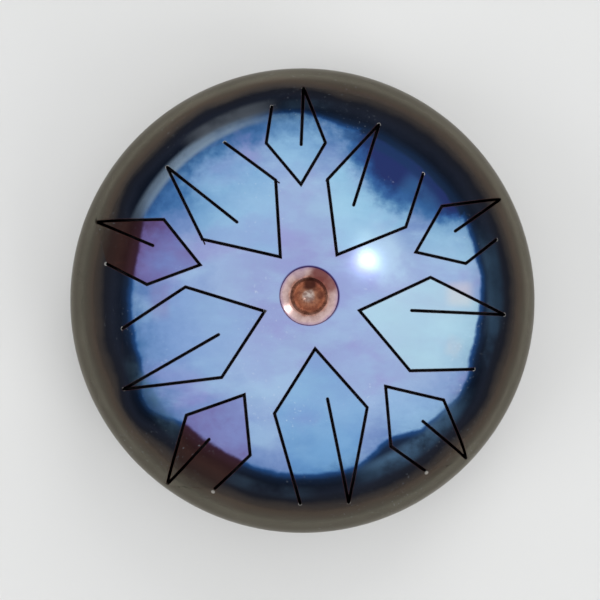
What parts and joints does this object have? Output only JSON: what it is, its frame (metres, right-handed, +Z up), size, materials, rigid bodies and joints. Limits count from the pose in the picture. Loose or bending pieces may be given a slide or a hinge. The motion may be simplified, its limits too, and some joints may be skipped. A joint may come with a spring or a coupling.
{
  "type": "slotted steel tongue drum",
  "caption": "Lens-shaped steel drum with slotted tongues that bend when struck, a centre dimple, a sound port below and rubber feet.",
  "frame": {"origin": "centre of the drum on the surface that its feet stand on", "axes": "+Z up along the drum's axis, +Y towards the small tongue at the top of the picture, +X to the picture's right"},
  "size_m": [0.5106, 0.5106, 0.1949],
  "materials": {
    "blued_steel": "polished, heat-tinted blue and lavender",
    "violet_steel": "polished, heat-tinted violet",
    "dark_steel": "satin, darker heat tint",
    "weld_steel": "dressed weld, satin",
    "bare_steel": "mill finish",
    "zinc_steel": "zinc plated",
    "black_rubber": "matt moulded rubber"
  },
  "bodies": {
    "drum_body": {"upper_shell": "blued_steel", "lower_shell": "dark_steel", "joint_hoop": "bare_steel", "seam_bead": "weld_steel", "port_trim": "black_rubber", "foot_1": "black_rubber", "foot_2": "black_rubber", "foot_3": "black_rubber", "foot_4": "black_rubber", "foot_rivet_nut_1": "zinc_steel", "foot_rivet_nut_2": "zinc_steel", "foot_rivet_nut_3": "zinc_steel", "foot_rivet_nut_4": "zinc_steel", "foot_washer_1": "zinc_steel", "foot_washer_2": "zinc_steel", "foot_washer_3": "zinc_steel", "foot_washer_4": "zinc_steel", "foot_screw_1": "zinc_steel", "foot_screw_2": "zinc_steel", "foot_screw_3": "zinc_steel", "foot_screw_4": "zinc_steel"},
    "tongue_1": {"tongue_1": "blued_steel"},
    "tongue_2": {"tongue_2": "blued_steel"},
    "tongue_3": {"tongue_3": "blued_steel"},
    "tongue_4": {"tongue_4": "blued_steel"},
    "tongue_5": {"tongue_5": "blued_steel"},
    "tongue_6": {"tongue_6": "blued_steel"},
    "tongue_7": {"tongue_7": "violet_steel"},
    "tongue_8": {"tongue_8": "blued_steel"},
    "tongue_9": {"tongue_9": "violet_steel"},
    "tongue_10": {"tongue_10": "blued_steel"}
  },
  "joints": [
    {"name": "tongue_1_flex", "type": "hinge", "parent": "drum_body", "child": "tongue_1", "pos_m": [-0.02077, 0.20752, 0.16833], "axis": [0.8277, 0.5436, -0.1392], "range_deg": [-0.5, 0.5], "stiffness_Nm_per_rad": 300},
    {"name": "tongue_2_flex", "type": "hinge", "parent": "drum_body", "child": "tongue_2", "pos_m": [0.09635, 0.15311, 0.17474], "axis": [-0.6529, 0.7549, -0.062], "range_deg": [-0.5, 0.5], "stiffness_Nm_per_rad": 300},
    {"name": "tongue_3_flex", "type": "hinge", "parent": "drum_body", "child": "tongue_3", "pos_m": [0.20072, 0.08216, 0.1644], "axis": [0.1593, 0.9597, -0.2316], "range_deg": [-0.5, 0.5], "stiffness_Nm_per_rad": 300},
    {"name": "tongue_4_flex", "type": "hinge", "parent": "drum_body", "child": "tongue_4", "pos_m": [0.18781, -0.04632, 0.17204], "axis": [0.5137, 0.8553, -0.0672], "range_deg": [-0.5, 0.5], "stiffness_Nm_per_rad": 300},
    {"name": "tongue_5_flex", "type": "hinge", "parent": "drum_body", "child": "tongue_5", "pos_m": [0.14482, -0.17422, 0.15843], "axis": [0.9289, 0.1898, -0.3179], "range_deg": [-0.5, 0.5], "stiffness_Nm_per_rad": 300},
    {"name": "tongue_6_flex", "type": "hinge", "parent": "drum_body", "child": "tongue_6", "pos_m": [0.01712, -0.21119, 0.16757], "axis": [0.9996, 0.0026, -0.0274], "range_deg": [-0.5, 0.5], "stiffness_Nm_per_rad": 300},
    {"name": "tongue_7_flex", "type": "hinge", "parent": "drum_body", "child": "tongue_7", "pos_m": [-0.11995, -0.19481, 0.15606], "axis": [-0.929, 0.0269, -0.3692], "range_deg": [-0.5, 0.5], "stiffness_Nm_per_rad": 300},
    {"name": "tongue_8_flex", "type": "hinge", "parent": "drum_body", "child": "tongue_8", "pos_m": [-0.18765, -0.06329, 0.17103], "axis": [0.0102, -0.9973, -0.0729], "range_deg": [-0.5, 0.5], "stiffness_Nm_per_rad": 300},
    {"name": "tongue_9_flex", "type": "hinge", "parent": "drum_body", "child": "tongue_9", "pos_m": [-0.21128, 0.05538, 0.16347], "axis": [-0.2809, 0.9271, -0.2484], "range_deg": [-0.5, 0.5], "stiffness_Nm_per_rad": 300},
    {"name": "tongue_10_flex", "type": "hinge", "parent": "drum_body", "child": "tongue_10", "pos_m": [-0.11496, 0.14509, 0.17393], "axis": [-0.9192, -0.3895, -0.0579], "range_deg": [-0.5, 0.5], "stiffness_Nm_per_rad": 300}
  ]
}
